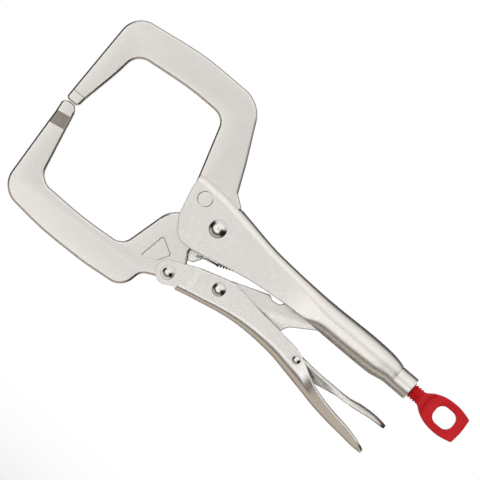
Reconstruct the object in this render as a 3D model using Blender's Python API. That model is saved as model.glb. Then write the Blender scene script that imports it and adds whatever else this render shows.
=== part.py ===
"""Locking C clamp, closed and locked: forged jaws, pressed sheet-steel handles and a red adjusting screw.

The clamp lies in the XZ plane, with its thickness along Y. The origin is the middle of its bounding box.
+X runs from the pads through the main pivot to the screw, and +Z points to the fixed jaw's side.
Outlines are drawn in millimetres from the middle of the fixed jaw's pad, and turned into metres from the
origin when a mesh is made.
"""

import math

import bmesh
import bpy
from mathutils import Matrix, Vector

MM = 0.001
GAP = 0.3
BOX_MIDDLE = (134.75, 1.875)

# Pivot centres (x, z).
MAIN_PIVOT = (104.1, -1.0)
LEVER_PIVOT = (98.7, -36.2)
LINK_PIVOT = (125.5, -25.3)
RELEASE_PIVOT = (181.6, -27.2)
JAW_PIN = (88.5, 6.8)
SCREW_Z = 0.5

# Thicknesses along Y, and sheet gauges.
JAW_HALF = 4.5
TAB_HALF = 1.5
LINK_HALF = 2.5
HANDLE_SHEET = 2.0
HANDLE_HALF = 6.9
LEVER_SHEET = 1.7
LEVER_HALF = 6.6
RELEASE_SHEET = 1.4

# Rivet shanks and heads (radii).
MAIN_SHANK = 3.5
MAIN_HEAD = 4.9
SMALL_SHANK = 2.5
SMALL_HEAD = 3.7
RELEASE_SHANK = 1.5
RELEASE_HEAD = 2.3
JAW_PIN_RADIUS = 4.1
KNUCKLE = 8.6

# Adjusting screw.
SCREW_RADIUS = 4.1
THREAD_PITCH = 1.75
THREAD_DEPTH = 0.7
SCREW_START = 212.0
NECK_END = 247.0
KEY_HALF = 2.9
THRUST_TIP = 197.2
THRUST_END = 226.0
THRUST_RADIUS = 2.2

# Opening spring.
SPRING_WIRE = 0.6
SPRING_RADIUS = 2.9
SPRING_TURNS = 14
SPRING_HOOK = (105.5, -19.2)
SPRING_START = (115.6, -12.4)
SPRING_END = (143.5, -2.3)
SPRING_ANCHOR = (150.6, 0.6)
HOOK_HOLE = 1.4

ARC_STEP = 15.0
HOLE_SIDES = 20
CUTTER_HALF = 15.0
WALL_BOW = 0.8


def clear_scene():
    """Removes whatever the scene holds."""
    for obj in list(bpy.data.objects):
        bpy.data.objects.remove(obj)


def steel(name, colour, roughness, metallic=1.0):
    """A Principled material."""
    material = bpy.data.materials.new(name)
    material.use_nodes = True
    shader = material.node_tree.nodes["Principled BSDF"]
    shader.inputs["Base Color"].default_value = (*colour, 1.0)
    shader.inputs["Roughness"].default_value = roughness
    shader.inputs["Metallic"].default_value = metallic
    return material


def arc(centre, radius, start, end):
    """Sharp outline corners along an arc, with angles in degrees measured from +X towards +Z."""
    steps = max(2, round(abs(end - start) / ARC_STEP))
    angles = [math.radians(start + (end - start) * i / steps) for i in range(steps + 1)]
    return [(centre[0] + radius * math.cos(a), centre[1] + radius * math.sin(a), 0.0) for a in angles]


def rounded_outline(corners):
    """Points of a closed outline, with each corner (x, z, radius) turned into a tangent arc."""
    points = []
    count = len(corners)
    for index, (x, z, radius) in enumerate(corners):
        here = Vector((x, z))
        if radius == 0.0:
            points.append(here)
            continue
        to_last = (Vector(corners[index - 1][:2]) - here).normalized()
        to_next = (Vector(corners[(index + 1) % count][:2]) - here).normalized()
        inner = to_last.angle(to_next)
        turn = math.pi - inner
        reach = radius * math.tan(turn / 2)
        centre = here + (to_last + to_next).normalized() * (radius / math.sin(inner / 2))
        first = here + to_last * reach - centre
        side = 1.0 if to_last.cross(to_next) < 0 else -1.0
        steps = max(2, math.ceil(math.degrees(turn) / ARC_STEP))
        for i in range(steps + 1):
            angle = side * turn * i / steps
            c, s = math.cos(angle), math.sin(angle)
            points.append(centre + Vector((first.x * c - first.y * s, first.x * s + first.y * c)))
    return points


def finish_object(name, mesh_data, origin, material):
    """Links a mesh built where it is drawn, with the object's origin on the mid-plane at (x, z) of the drawing."""
    mesh = bpy.data.meshes.new(name)
    bmesh.ops.recalc_face_normals(mesh_data, faces=mesh_data.faces)
    mesh_data.to_mesh(mesh)
    mesh_data.free()
    drawn = Vector((origin[0], 0.0, origin[1])) * MM
    mesh.transform(Matrix.Translation(-drawn))
    mesh.shade_smooth()
    mesh.set_sharp_from_angle(angle=math.radians(32))
    obj = bpy.data.objects.new(name, mesh)
    obj.location = drawn - Vector((BOX_MIDDLE[0], 0.0, BOX_MIDDLE[1])) * MM
    bpy.context.scene.collection.objects.link(obj)
    if material is not None:
        mesh.materials.append(material)
    return obj


def add_prism(shape, outline, low, high):
    """Adds an XZ outline extruded along Y to a bmesh."""
    bottom = [shape.verts.new(Vector((p.x, low, p.y)) * MM) for p in outline]
    face = shape.faces.new(bottom)
    raised = bmesh.ops.extrude_face_region(shape, geom=[face])["geom"]
    verts = [item for item in raised if isinstance(item, bmesh.types.BMVert)]
    bmesh.ops.translate(shape, vec=(0.0, (high - low) * MM, 0.0), verts=verts)


def prism(name, outline, half, origin=(0.0, 0.0), material=None):
    """An outline extruded evenly about the mid-plane."""
    shape = bmesh.new()
    add_prism(shape, outline, -half, half)
    return finish_object(name, shape, origin, material)


def turned(name, profile, origin, along, material=None, sides=20):
    """A profile of (radius, distance) turned about an axis along "x" or "y" through origin (x, z)."""
    shape = bmesh.new()
    if along == "y":
        axis = Vector((0.0, 1.0, 0.0))
        places = [Vector((origin[0] + r, d, origin[1])) * MM for r, d in profile]
    else:
        axis = Vector((1.0, 0.0, 0.0))
        places = [Vector((d, 0.0, origin[1] + r)) * MM for r, d in profile]
    verts = [shape.verts.new(p) for p in places]
    edges = [shape.edges.new(pair) for pair in zip(verts, verts[1:])]
    centre = Vector((origin[0], 0.0, origin[1])) * MM
    bmesh.ops.spin(
        shape, geom=verts + edges, cent=centre, axis=axis, angle=math.tau, steps=sides, use_merge=True
    )
    bmesh.ops.remove_doubles(shape, verts=shape.verts, dist=1e-7)
    return finish_object(name, shape, origin, material)


def channel_path(crest, rim, half_width, radius, sweep, curl):
    """Half of a pressed channel's outer section, from the crest's centre to the rim, as (y, z, angle).

    The path runs flat along the crest, round a corner of the given radius through sweep degrees,
    straight along the wall, and round a last curl, which is slight on a plain wall.
    """
    rise = 1.0 if rim > crest else -1.0
    height = abs(rim - crest)
    beta, kappa = math.radians(sweep), math.radians(curl)
    curl_radius = half_width if curl > 20 else WALL_BOW / kappa
    curl_height = curl_radius * (math.cos(beta) - math.cos(beta + kappa))
    wall = (height - radius * (1 - math.cos(beta)) - curl_height) / math.sin(beta)
    flat = half_width - radius * math.sin(beta) - wall * math.cos(beta)
    path = [(0.0, crest, 0.0)]
    for i in range(6):
        angle = beta * i / 5
        path.append((flat + radius * math.sin(angle), crest + rise * radius * (1 - math.cos(angle)), angle))
    y, z, _ = path[-1]
    y, z = y + wall * math.cos(beta), z + rise * wall * math.sin(beta)
    for i in range(4):
        angle = beta + kappa * i / 3
        dy = curl_radius * (math.sin(angle) - math.sin(beta))
        dz = curl_radius * (math.cos(beta) - math.cos(angle))
        path.append((y + dy, z + rise * dz, angle))
    return path, rise


def channel_ring(x, sheet, *section):
    """The closed ring of points round a channel's sheet at x: over the outside, and back on the inside."""
    path, rise = channel_path(*section)
    inner = [(y - sheet * math.sin(a), z + rise * sheet * math.cos(a)) for y, z, a in path]
    outer = [(y, z) for y, z, _ in path]
    outside = [(-y, z) for y, z in reversed(outer[1:])] + outer
    inside = [(-y, z) for y, z in reversed(inner[1:])] + inner
    return [Vector((x, y, z)) * MM for y, z in outside + inside[::-1]]


def channel(name, stations, sheet, origin, material):
    """A pressed channel lofted through stations of (x, crest, rim, half width, corner radius, sweep, curl)."""
    shape = bmesh.new()
    rings = [[shape.verts.new(p) for p in channel_ring(s[0], sheet, *s[1:])] for s in stations]
    count = len(rings[0])
    for ring, following in zip(rings, rings[1:]):
        for i in range(count):
            j = (i + 1) % count
            shape.faces.new((ring[i], ring[j], following[j], following[i]))
    for ring in (rings[0], rings[-1]):
        for i in range(count // 2 - 1):
            shape.faces.new((ring[i], ring[i + 1], ring[count - 2 - i], ring[count - 1 - i]))
    return finish_object(name, shape, origin, material)


def boolean(obj, other, operation):
    """Combines an object with a hidden helper."""
    other.hide_render = True
    other.display_type = "WIRE"
    modifier = obj.modifiers.new(other.name, "BOOLEAN")
    modifier.operation = operation
    modifier.object = other


def drill(obj, holes, reach=20.0):
    """Cuts round holes (x, z, radius) through an object along Y."""
    shape = bmesh.new()
    for x, z, radius in holes:
        turn = Matrix.Rotation(math.pi / 2, 4, "X")
        place = Matrix.Translation(Vector((x, 0.0, z)) * MM) @ turn
        bmesh.ops.create_cone(
            shape,
            cap_ends=True,
            segments=HOLE_SIDES,
            radius1=radius * MM,
            radius2=radius * MM,
            depth=2 * reach * MM,
            matrix=place,
        )
    boolean(obj, finish_object(obj.name + "_drill", shape, (0.0, 0.0), None), "DIFFERENCE")


def rivet(name, pivot, shank, head, seat, crown, material):
    """A rivet through both walls of a channel: a plain shank, and a low dome of height crown outside each wall."""
    under = seat + 0.15
    dome = [(head * math.cos(a), under + 0.5 + crown * math.sin(a)) for a in (0.0, 0.5, 1.0)]
    half = [(0.0, under + 0.5 + crown)] + dome[::-1] + [(head, under), (shank, under)]
    profile = half + [(r, -d) for r, d in reversed(half)]
    return turned(name, profile, pivot, "y", material)


def fixed_jaw(material):
    """The upper jaw, forged in one piece: pad, C-shaped arm and a root held between the handle's walls."""
    corners = [
        (-4.0, 0.0, 1.5),
        (-4.95, 58.8, 13.0),
        (38.5, 65.8, 150.0),
        (77.7, 65.8, 18.0),
        (93.3, 35.3, 100.0),
        (100.2, 20.3, 3.0),
        (106.4, 16.2, 1.0),
        (106.4, 11.4, 0.5),
        (112.6, 10.2, 1.0),
        (112.9, 7.0, 0.5),
    ]
    corners += arc(MAIN_PIVOT, KNUCKLE + 0.8, 50.0, 129.0)
    corners += [
        (83.6, -4.9, 1.0),
        (81.0, 1.0, 10.0),
        (79.4, 9.6, 4.0),
        (67.8, 46.9, 6.0),
        (45.0, 47.4, 150.0),
        (10.1, 43.0, 6.0),
        (8.4, 28.0, 120.0),
        (3.4, 0.0, 1.3),
    ]
    jaw = prism("fixed_jaw", rounded_outline(corners), JAW_HALF, (0.0, 0.0), material)
    drill(jaw, [(*JAW_PIN, JAW_PIN_RADIUS + GAP)])
    return jaw


def moving_jaw(material):
    """The lower jaw: pad, arm, pivot knuckle, lever boss and a thin tab that the spring hooks on."""
    corners = [
        (-2.2, -0.3, 0.8),
        (-4.7, -2.4, 1.5),
        (-4.2, -5.8, 1.5),
        (-3.1, -8.6, 2.0),
        (-0.4, -59.6, 11.0),
        (32.0, -62.3, 150.0),
        (60.0, -61.4, 100.0),
        (85.1, -58.9, 10.0),
        (87.3, -43.6, 4.0),
    ]
    corners += arc(LEVER_PIVOT, 6.3, -120.0, 30.0)
    corners += [(103.6, -26.2, 2.0), (99.8, -20.0, 3.0), (103.4, -12.6, 4.0)]
    corners += arc(MAIN_PIVOT, KNUCKLE, -40.0, 129.0)
    corners += [
        (77.6, -11.8, 14.0),
        (70.7, -41.4, 6.5),
        (45.0, -43.3, 150.0),
        (13.4, -42.9, 7.0),
        (3.8, -1.2, 1.0),
        (2.2, -0.3, 0.8),
    ]
    jaw = prism("moving_jaw", rounded_outline(corners), JAW_HALF, MAIN_PIVOT, material)
    tab = [(98.0, -12.0, 0.0), (104.5, -13.5, 1.0), (108.6, -18.2, 2.5), (105.4, -23.4, 2.5), (98.0, -25.5, 0.0)]
    boolean(jaw, prism("spring_tab", rounded_outline(tab), TAB_HALF), "UNION")
    holes = [
        (*MAIN_PIVOT, MAIN_SHANK + GAP),
        (*LEVER_PIVOT, SMALL_SHANK + GAP),
        (*SPRING_HOOK, HOOK_HOLE),
    ]
    drill(jaw, holes)
    return jaw


def handle(material):
    """The upper handle: one pressed sheet, open under and over the nose, rolled into a tube with a collar."""
    stations = [
        (74.0, 24.0, -22.0, HANDLE_HALF, 4.0, 90.0, 1.0),
        (106.9, 24.0, -22.0, HANDLE_HALF, 4.0, 90.0, 1.0),
        (107.4, 15.1, -17.0, HANDLE_HALF, 4.5, 90.0, 1.0),
        (115.5, 13.7, -15.1, HANDLE_HALF, 4.7, 90.0, 1.0),
        (125.0, 12.0, -12.9, HANDLE_HALF, 5.0, 90.0, 1.0),
        (137.0, 10.3, -10.6, HANDLE_HALF, 5.2, 90.0, 1.0),
        (150.0, 9.5, -9.1, HANDLE_HALF, 5.5, 90.0, 1.5),
        (162.0, 8.8, -8.1, 7.1, 6.0, 90.0, 6.0),
        (172.0, 8.5, -7.8, 7.9, 7.0, 90.0, 24.0),
        (178.0, 8.6, -7.7, 8.4, 7.6, 90.0, 56.0),
        (184.0, 8.7, -7.7, 8.6, 7.8, 90.0, 62.0),
        (196.0, 9.2, -7.9, 8.7, 8.0, 90.0, 63.0),
        (206.0, 9.5, -7.7, 8.7, 8.1, 90.0, 74.0),
        (216.0, 9.5, -7.4, 8.5, 8.0, 90.0, 80.0),
        (221.0, 9.2, -6.6, 7.9, 7.5, 90.0, 80.0),
        (225.5, 8.1, -5.9, 7.0, 6.7, 90.0, 80.0),
        (228.2, 7.0, -5.8, 6.5, 6.2, 90.0, 80.0),
        (239.0, 7.0, -5.8, 6.5, 6.2, 90.0, 80.0),
    ]
    shell = channel("handle", stations, HANDLE_SHEET, (0.0, 0.0), material)
    side = [
        (78.1, 15.5, 1.2),
        (84.5, 16.3, 40.0),
        (99.7, 15.5, 0.0),
        (107.4, 15.1, 0.0),
        (108.0, 30.0, 0.0),
        (245.0, 30.0, 0.0),
        (245.0, -30.0, 0.0),
        (108.0, -30.0, 0.0),
        (107.4, -16.9, 0.0),
        (99.9, -18.7, 12.0),
        (90.6, -19.0, 8.0),
        (83.0, -8.6, 14.0),
        (78.5, 8.0, 12.0),
    ]
    boolean(shell, prism("handle_side", rounded_outline(side), CUTTER_HALF), "INTERSECT")
    anchor = [(148.2, 8.6, 0.0), (148.2, -1.6, 1.0), (153.0, -1.6, 1.0), (153.0, 8.2, 0.0)]
    boolean(shell, prism("anchor_tab", rounded_outline(anchor), TAB_HALF), "UNION")
    drill(shell, [(*MAIN_PIVOT, MAIN_SHANK + GAP), (*JAW_PIN, JAW_PIN_RADIUS + GAP)])
    drill(shell, [(*SPRING_ANCHOR, HOOK_HOLE)], reach=3.0)
    return shell


def lever(material):
    """The lower handle: a channel open towards the link, with two ears round the jaw and a flared tail."""
    stations = [
        (90.0, -52.0, -14.0, LEVER_HALF, 4.0, 90.0, 1.0),
        (106.9, -52.0, -14.0, LEVER_HALF, 4.0, 90.0, 1.0),
        (107.3, -41.0, -14.0, LEVER_HALF, 4.0, 90.0, 1.0),
        (110.5, -40.1, -14.0, LEVER_HALF, 4.2, 90.0, 1.0),
        (113.5, -39.3, -14.0, 7.0, 4.5, 90.0, 1.0),
        (123.0, -37.1, -14.0, 7.0, 4.7, 90.0, 1.0),
        (135.0, -34.5, -14.0, 7.0, 5.0, 90.0, 1.0),
        (147.0, -33.1, -14.0, 7.1, 5.3, 90.0, 1.0),
        (154.0, -33.0, -20.0, 7.2, 5.5, 90.0, 1.0),
        (162.0, -33.3, -20.8, 7.3, 5.7, 90.0, 1.0),
        (170.0, -34.3, -21.7, 7.3, 6.0, 90.0, 1.0),
        (178.0, -35.7, -22.4, 7.4, 6.3, 90.0, 1.0),
        (187.0, -37.3, -25.9, 7.6, 6.8, 88.0, 1.0),
        (195.0, -38.8, -30.4, 7.9, 6.6, 82.0, 1.0),
        (205.0, -40.6, -34.3, 8.4, 6.6, 72.0, 1.0),
        (216.0, -41.9, -36.6, 8.8, 6.6, 62.0, 1.0),
        (227.0, -42.6, -38.3, 8.9, 6.6, 55.0, 1.0),
        (235.0, -43.3, -40.1, 8.7, 6.6, 46.0, 1.0),
        (240.4, -43.5, -41.8, 7.8, 6.6, 30.0, 1.0),
    ]
    shell = channel("lever", stations, LEVER_SHEET, LEVER_PIVOT, material)
    side = arc(LEVER_PIVOT, 6.8, 125.0, 285.0)
    side += [
        (106.0, -39.7, 0.5),
        (107.5, -40.6, 0.0),
        (107.5, -60.0, 0.0),
        (245.0, -60.0, 0.0),
        (245.0, -10.0, 0.0),
        (154.0, -10.0, 0.0),
        (154.0, -20.0, 0.0),
        (131.5, -17.7, 0.3),
        (130.9, -16.7, 0.3),
        (110.6, -23.0, 60.0),
    ]
    boolean(shell, prism("lever_side", rounded_outline(side), CUTTER_HALF), "INTERSECT")
    holes = [
        (*LEVER_PIVOT, SMALL_SHANK + GAP),
        (*LINK_PIVOT, SMALL_SHANK + GAP),
        (*RELEASE_PIVOT, RELEASE_SHANK + GAP),
    ]
    drill(shell, holes)
    return shell


def toggle_link(material):
    """The forged strut from the lever to the screw, with a heel that the release lever's nose lifts."""
    corners = arc(LINK_PIVOT, 6.4, 110.0, 290.0)
    corners += [
        (150.0, -26.2, 8.0),
        (164.4, -23.3, 2.0),
        (166.6, -17.0, 8.0),
        (179.8, -8.2, 12.0),
        (190.2, -3.4, 2.5),
        (192.8, 0.5, 2.0),
        (190.2, 4.2, 2.5),
        (176.0, 2.6, 8.0),
        (158.6, -5.4, 3.0),
        (156.0, -10.6, 2.5),
        (151.2, -11.4, 2.0),
        (148.6, -9.7, 1.5),
    ]
    link = prism("toggle_link", rounded_outline(corners), LINK_HALF, LINK_PIVOT, material)
    drill(link, [(*LINK_PIVOT, SMALL_SHANK + GAP)])
    return link


def release_lever(material):
    """The small trigger inside the lower handle: a narrow nose, a pivot and a flared tail."""
    stations = [
        (163.0, -27.4, -30.3, 4.0, 1.9, 90.0, 1.0),
        (172.0, -25.6, -30.7, 4.4, 2.2, 90.0, 1.0),
        (181.0, -23.7, -31.8, 4.7, 2.6, 90.0, 1.0),
        (190.0, -24.3, -32.0, 4.7, 2.8, 90.0, 1.0),
        (198.0, -24.7, -30.9, 4.7, 2.9, 90.0, 1.0),
        (203.0, -24.6, -29.8, 5.0, 3.0, 88.0, 1.0),
        (209.0, -24.7, -28.6, 6.0, 3.6, 78.0, 1.0),
        (216.0, -24.4, -27.7, 7.0, 4.4, 66.0, 1.0),
        (225.0, -23.1, -26.7, 7.6, 5.2, 60.0, 1.0),
        (233.0, -22.8, -25.6, 7.8, 5.6, 52.0, 1.0),
        (241.5, -23.6, -25.1, 7.2, 6.0, 30.0, 1.0),
    ]
    shell = channel("release_lever", stations, RELEASE_SHEET, RELEASE_PIVOT, material)
    drill(shell, [(*RELEASE_PIVOT, RELEASE_SHANK + GAP)])
    return shell


def adjusting_screw(material):
    """The red screw: a threaded shank with a forged loop key on its end, and a blind bore for the thrust pin."""
    root = SCREW_RADIUS - THREAD_DEPTH
    bore = THRUST_RADIUS + GAP
    profile = [(0.0, THRUST_END + 1.0), (bore, THRUST_END + 1.0), (bore, SCREW_START), (root, SCREW_START)]
    turns = int((NECK_END - SCREW_START) / THREAD_PITCH)
    for i in range(turns):
        start = SCREW_START + 0.5 + i * THREAD_PITCH
        profile.append((root, start))
        profile.append((SCREW_RADIUS, start + THREAD_PITCH / 2))
    profile += [(root, NECK_END), (3.0, NECK_END + 6.0), (0.0, NECK_END + 6.0)]
    screw = turned("adjusting_screw", profile, (230.0, SCREW_Z), "x", material, sides=16)
    outline = [
        (246.2, SCREW_Z + 3.2, 1.0),
        (250.0, SCREW_Z + 7.0, 5.0),
        (260.5, SCREW_Z + 10.7, 10.0),
        (273.4, SCREW_Z + 8.4, 2.0),
        (274.9, SCREW_Z, 40.0),
        (273.4, SCREW_Z - 8.4, 2.0),
        (260.5, SCREW_Z - 10.7, 10.0),
        (250.0, SCREW_Z - 7.0, 5.0),
        (246.2, SCREW_Z - 3.2, 1.0),
    ]
    boolean(screw, prism("key_blade", rounded_outline(outline), KEY_HALF), "UNION")
    hole = [
        (256.4, SCREW_Z + 5.2, 4.5),
        (269.0, SCREW_Z + 5.2, 4.5),
        (269.0, SCREW_Z - 5.2, 4.5),
        (256.4, SCREW_Z - 5.2, 4.5),
    ]
    boolean(screw, prism("key_hole", rounded_outline(hole), CUTTER_HALF), "DIFFERENCE")
    return screw


def thrust_pin(material):
    """The hard round pin in the screw's end that the link bears on."""
    profile = [
        (0.0, THRUST_TIP),
        (1.2, THRUST_TIP),
        (THRUST_RADIUS, THRUST_TIP + 1.2),
        (THRUST_RADIUS, THRUST_END),
        (0.0, THRUST_END),
    ]
    return turned("thrust_pin", profile, (210.0, SCREW_Z), "x", material, sides=16)


def spring_path():
    """Centre line of the spring: a hook through the jaw's tab, the coils, and a hook through the handle's tab."""
    start = Vector((SPRING_START[0], 0.0, SPRING_START[1]))
    end = Vector((SPRING_END[0], 0.0, SPRING_END[1]))
    axis = (end - start).normalized()
    up = Vector((-axis.z, 0.0, axis.x))
    side = Vector((0.0, 1.0, 0.0))
    hook = Vector((SPRING_HOOK[0], 0.0, SPRING_HOOK[1]))
    anchor = Vector((SPRING_ANCHOR[0], 0.0, SPRING_ANCHOR[1]))
    # Each hook is an arc through its tab's hole, in the plane of the spring's axis and Y.
    reach = TAB_HALF + 1.2
    path = [hook + side * reach * math.sin(a) - axis * reach * 0.2 * math.cos(a) for a in (-1.2, -0.6, 0.0, 0.6)]
    path += [hook + side * reach + axis * 1.5, start - up * SPRING_RADIUS - axis * 1.2]
    per_turn = 8
    for i in range(SPRING_TURNS * per_turn + 1):
        angle = math.tau * i / per_turn
        along = start.lerp(end, i / (SPRING_TURNS * per_turn))
        path.append(along - up * SPRING_RADIUS * math.cos(angle) + side * SPRING_RADIUS * math.sin(angle))
    path += [end - up * SPRING_RADIUS + axis * 1.6, anchor - side * reach - axis * 1.5]
    path += [anchor + side * reach * math.sin(a) + axis * reach * 0.2 * math.cos(a) for a in (-0.6, 0.0, 0.6, 1.2)]
    return path


def opening_spring(material, sides=5):
    """The tension spring that pulls the moving jaw open, swept along its centre line."""
    path = spring_path()
    shape = bmesh.new()
    rings = []
    normal = Vector((0.0, 0.0, 1.0))
    for index, point in enumerate(path):
        before, after = path[max(index - 1, 0)], path[min(index + 1, len(path) - 1)]
        tangent = (after - before).normalized()
        normal = (normal - tangent * normal.dot(tangent)).normalized()
        across = tangent.cross(normal)
        ring = []
        for i in range(sides):
            angle = math.tau * i / sides
            offset = (normal * math.cos(angle) + across * math.sin(angle)) * SPRING_WIRE
            ring.append(shape.verts.new((point + offset) * MM))
        rings.append(ring)
    for ring, following in zip(rings, rings[1:]):
        for i in range(sides):
            j = (i + 1) % sides
            shape.faces.new((ring[i], ring[j], following[j], following[i]))
    shape.faces.new(rings[0])
    shape.faces.new(rings[-1])
    return finish_object("opening_spring", shape, SPRING_ANCHOR, material)


def rivets(material):
    """Every rivet and the pin that fixes the upper jaw."""
    rivet("main_pivot_rivet", MAIN_PIVOT, MAIN_SHANK, MAIN_HEAD, HANDLE_HALF, 1.9, material)
    rivet("lever_rivet", LEVER_PIVOT, SMALL_SHANK, SMALL_HEAD, LEVER_HALF, 1.5, material)
    rivet("link_rivet", LINK_PIVOT, SMALL_SHANK, SMALL_HEAD, LEVER_HALF + 0.4, 1.3, material)
    rivet("release_rivet", RELEASE_PIVOT, RELEASE_SHANK, RELEASE_HEAD, LEVER_HALF + 0.9, 0.8, material)
    flush = [(0.0, HANDLE_HALF), (JAW_PIN_RADIUS, HANDLE_HALF), (JAW_PIN_RADIUS, -HANDLE_HALF), (0.0, -HANDLE_HALF)]
    turned("fixed_jaw_pin", flush, JAW_PIN, "y", material)


def build():
    """Builds every piece at its closed and locked place."""
    clear_scene()
    satin = steel("satin_nickel", (0.72, 0.70, 0.67), 0.38)
    polished = steel("polished_rivet", (0.78, 0.77, 0.75), 0.15)
    wire = steel("spring_wire", (0.35, 0.34, 0.33), 0.35)
    red = steel("red_coat", (0.60, 0.02, 0.04), 0.35, metallic=0.0)
    fixed_jaw(satin)
    moving_jaw(satin)
    handle(satin)
    lever(satin)
    toggle_link(satin)
    release_lever(satin)
    rivets(polished)
    adjusting_screw(red)
    thrust_pin(polished)
    opening_spring(wire)


build()
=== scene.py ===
"""The look of a locking C clamp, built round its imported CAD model.

Every outline is drawn in millimetres from the middle of the fixed jaw's pad, +X towards the screw and +Z
towards the fixed jaw's side, and the frame's own box of the flush pin says where that zero lies.
"""

import math

import bmesh
import bpy
from mathutils import Matrix, Vector


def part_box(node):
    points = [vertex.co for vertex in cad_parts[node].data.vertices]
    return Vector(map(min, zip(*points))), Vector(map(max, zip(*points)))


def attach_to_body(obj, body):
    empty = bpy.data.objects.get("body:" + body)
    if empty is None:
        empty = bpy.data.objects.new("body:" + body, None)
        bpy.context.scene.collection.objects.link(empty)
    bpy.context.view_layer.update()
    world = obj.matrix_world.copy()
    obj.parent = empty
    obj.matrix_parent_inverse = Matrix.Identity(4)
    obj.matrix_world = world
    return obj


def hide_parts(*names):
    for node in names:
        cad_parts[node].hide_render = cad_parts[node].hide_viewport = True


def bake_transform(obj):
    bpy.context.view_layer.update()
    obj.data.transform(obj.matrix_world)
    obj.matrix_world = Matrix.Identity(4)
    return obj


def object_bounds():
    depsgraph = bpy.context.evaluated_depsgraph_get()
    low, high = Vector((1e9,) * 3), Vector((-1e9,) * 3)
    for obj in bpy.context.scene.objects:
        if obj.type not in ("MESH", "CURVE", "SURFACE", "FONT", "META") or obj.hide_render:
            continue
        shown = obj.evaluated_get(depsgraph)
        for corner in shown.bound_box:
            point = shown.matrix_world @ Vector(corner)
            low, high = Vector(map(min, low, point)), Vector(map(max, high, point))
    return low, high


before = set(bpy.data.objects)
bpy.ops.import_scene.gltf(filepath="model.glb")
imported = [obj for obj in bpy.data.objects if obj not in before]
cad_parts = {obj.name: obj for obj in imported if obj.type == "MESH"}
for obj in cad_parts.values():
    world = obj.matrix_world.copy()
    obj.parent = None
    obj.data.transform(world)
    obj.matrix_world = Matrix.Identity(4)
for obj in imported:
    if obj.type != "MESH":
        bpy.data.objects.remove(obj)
cad_low, cad_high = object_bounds()

# Millimetres in the frame's metres, and the clearance between pieces in millimetres.
MM = 0.001
GAP = 0.3

# Pivot centres (x, z) in the drawing.
MAIN_PIVOT = (104.1, -1.0)
LEVER_PIVOT = (98.7, -36.2)
LINK_PIVOT = (125.5, -25.3)
RELEASE_PIVOT = (181.6, -27.2)
JAW_PIN = (88.5, 6.8)
SCREW_Z = 0.5

# The flush pin's centre in the frame fixes the drawing's zero.
pin_low, pin_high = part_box("fixed_jaw_pin")
ZERO = (pin_low + pin_high) / 2 - Vector((JAW_PIN[0], 0.0, JAW_PIN[1])) * MM

# Thicknesses along Y come from the frame, and sheet gauges are real ones.
JAW_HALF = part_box("fixed_jaw")[1].y / MM
LINK_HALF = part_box("toggle_link")[1].y / MM
HANDLE_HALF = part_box("fixed_jaw_pin")[1].y / MM
LEVER_HALF = 6.6
GRIP_HALF = 7.0
TAB_HALF = 1.5
HANDLE_SHEET = 2.0
LEVER_SHEET = 1.7
RELEASE_SHEET = 1.4

# Radii of the rivets' shanks and heads, of the flush pin, and of the knuckle round the main pivot.
MAIN_SHANK, MAIN_HEAD = 3.5, 4.9
SMALL_SHANK, SMALL_HEAD = 2.5, 3.75
RELEASE_SHANK, RELEASE_HEAD = 1.5, 2.35
JAW_PIN_RADIUS = 4.1
KNUCKLE = 8.6

# How far the set heads stand off the walls, and the flush pin's chamfer.
HEAD_STAND_OFF = 0.12
PIN_CHAMFER = 0.12

# Roundings of the jaws', the spring tab's and the link's edges.
JAW_ROUND = 1.6
TAB_ROUND = 0.6
LINK_ROUND = 0.5

# The screw, its key and the pin in its end, as places along X, radii and half thicknesses.
SCREW_RADIUS = 4.3
THREAD_PITCH = 1.75
THREAD_DEPTH = 0.75
SCREW_START = 212.0
NECK_END = 247.6
THRUST_TIP = 197.2
THRUST_END = 226.0
THRUST_RADIUS = 2.2
KEY_HALF = 2.9
NECK_HALF = 3.7
KEY_HOLE = (262.7, SCREW_Z)
KEY_HOLE_SIDE, KEY_HOLE_TOP = 6.4, 5.3
KEY_HOLE_CORNER = 4.5

# The spring: its wire's and its coils' radii, its ends along the axis, and the holes that its hooks pass.
SPRING_WIRE = 0.6
SPRING_RADIUS = 2.9
SPRING_TURNS = 18
SPRING_HOOK = (105.5, -19.2)
SPRING_START = (115.6, -13.6)
SPRING_END = (143.5, -1.7)
SPRING_ANCHOR = (150.6, 0.6)
HOOK_HOLE = 0.8

# Where the upper handle is being rolled into a tube, and how much duller that leaves it.
TUBE_START = 152.0
TUBE_END = 185.0
ROLLED_DULL = 0.03

# How far the open jaw and lever hang below the closed clamp.
FLOOR_DROP = 84.0

# Fineness of the meshes: degrees between points of an arc, sides of a hole, and the space between stations.
ARC_STEP = 4.0
HOLE_SIDES = 56
STATION_STEP = 1.6

# A channel's rim: the shortest curl that leads to it, the rounding of its edge, and how far inside the
# corner the middle of that rounding lies, as a share of it.
CURL_LENGTH = 0.6
RIM_ROUND = 0.45
ROUND_MIDDLE = 0.293

# Half the length of a helper that cuts right through a piece.
CUTTER_HALF = 15.0


# Mesh helpers.


def arc(centre, radius, start, end):
    """Sharp outline corners along an arc, with angles in degrees measured from +X towards +Z."""
    steps = max(2, round(abs(end - start) / ARC_STEP))
    angles = [math.radians(start + (end - start) * i / steps) for i in range(steps + 1)]
    return [(centre[0] + radius * math.cos(a), centre[1] + radius * math.sin(a), 0.0) for a in angles]


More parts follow.
